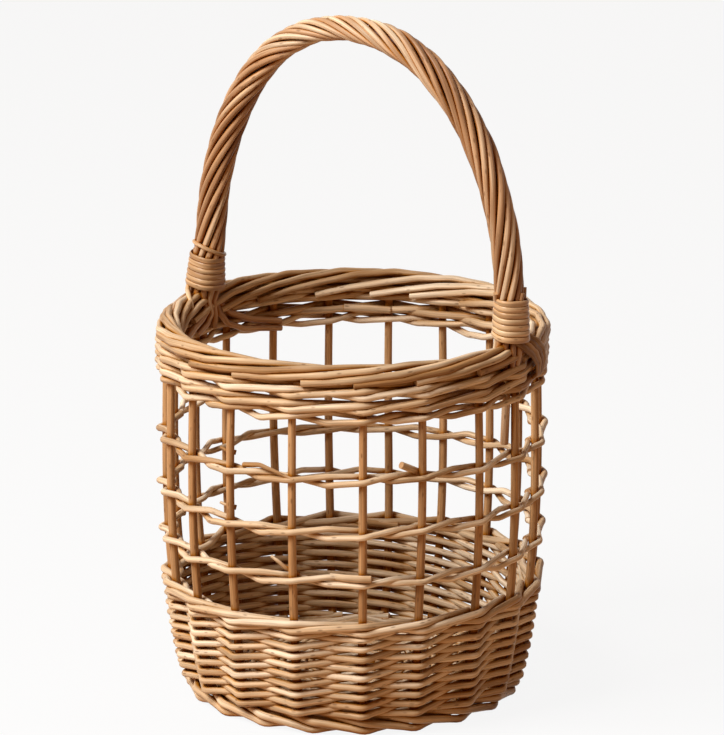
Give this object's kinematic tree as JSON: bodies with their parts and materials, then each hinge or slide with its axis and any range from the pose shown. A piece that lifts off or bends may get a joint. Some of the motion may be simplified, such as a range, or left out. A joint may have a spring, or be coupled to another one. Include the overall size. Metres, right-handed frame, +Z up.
{
  "type": "wicker flower basket",
  "caption": "Round willow flower basket with a close woven base band, an openwork middle, a rolled border and a fixed roped bow handle.",
  "frame": {"origin": "on the floor, under the middle of the base", "axes": "+Z up, X across the basket from one foot of the handle to the other, Y through the handle's loop"},
  "size_m": [0.2381, 0.2326, 0.4062],
  "materials": {
    "willow_stake": "satin buff willow",
    "willow_weaver": "satin buff willow",
    "willow_handle": "satin buff willow",
    "willow_skein": "satin split willow"
  },
  "bodies": {
    "root": {"stake_01": "willow_stake", "stake_02": "willow_stake", "stake_03": "willow_stake", "stake_04": "willow_stake", "stake_05": "willow_stake", "stake_06": "willow_stake", "stake_07": "willow_stake", "stake_08": "willow_stake", "stake_09": "willow_stake", "stake_10": "willow_stake", "stake_11": "willow_stake", "stake_12": "willow_stake", "stake_13": "willow_stake", "stake_14": "willow_stake", "stake_15": "willow_stake", "stake_16": "willow_stake", "stake_17": "willow_stake", "stake_18": "willow_stake", "stake_19": "willow_stake", "stake_20": "willow_stake", "base_stick_pierced_1": "willow_stake", "base_stick_pierced_2": "willow_stake", "base_stick_pierced_3": "willow_stake", "base_stick_threaded_1": "willow_stake", "base_stick_threaded_2": "willow_stake", "base_weave": "willow_weaver", "foot_wale": "willow_weaver", "lower_row_1": "willow_weaver", "lower_row_2": "willow_weaver", "lower_row_3": "willow_weaver", "lower_row_4": "willow_weaver", "lower_row_5": "willow_weaver", "lower_row_6": "willow_weaver", "lower_row_7": "willow_weaver", "lower_row_8": "willow_weaver", "lower_wale": "willow_weaver", "fitch_1a": "willow_weaver", "fitch_1b": "willow_weaver", "fitch_2a": "willow_weaver", "fitch_2b": "willow_weaver", "fitch_3a": "willow_weaver", "fitch_3b": "willow_weaver", "upper_wale_1": "willow_weaver", "upper_wale_2": "willow_weaver", "upper_wale_3": "willow_weaver", "border": "willow_weaver", "handle_bow": "willow_handle", "handle_rod_01": "willow_handle", "handle_rod_02": "willow_handle", "handle_rod_03": "willow_handle", "handle_rod_04": "willow_handle", "handle_rod_05": "willow_handle", "handle_rod_06": "willow_handle", "handle_rod_07": "willow_handle", "handle_rod_08": "willow_handle", "handle_rod_09": "willow_handle", "handle_rod_10": "willow_handle", "handle_binding_right": "willow_skein", "handle_binding_left": "willow_skein"}
  },
  "joints": []
}
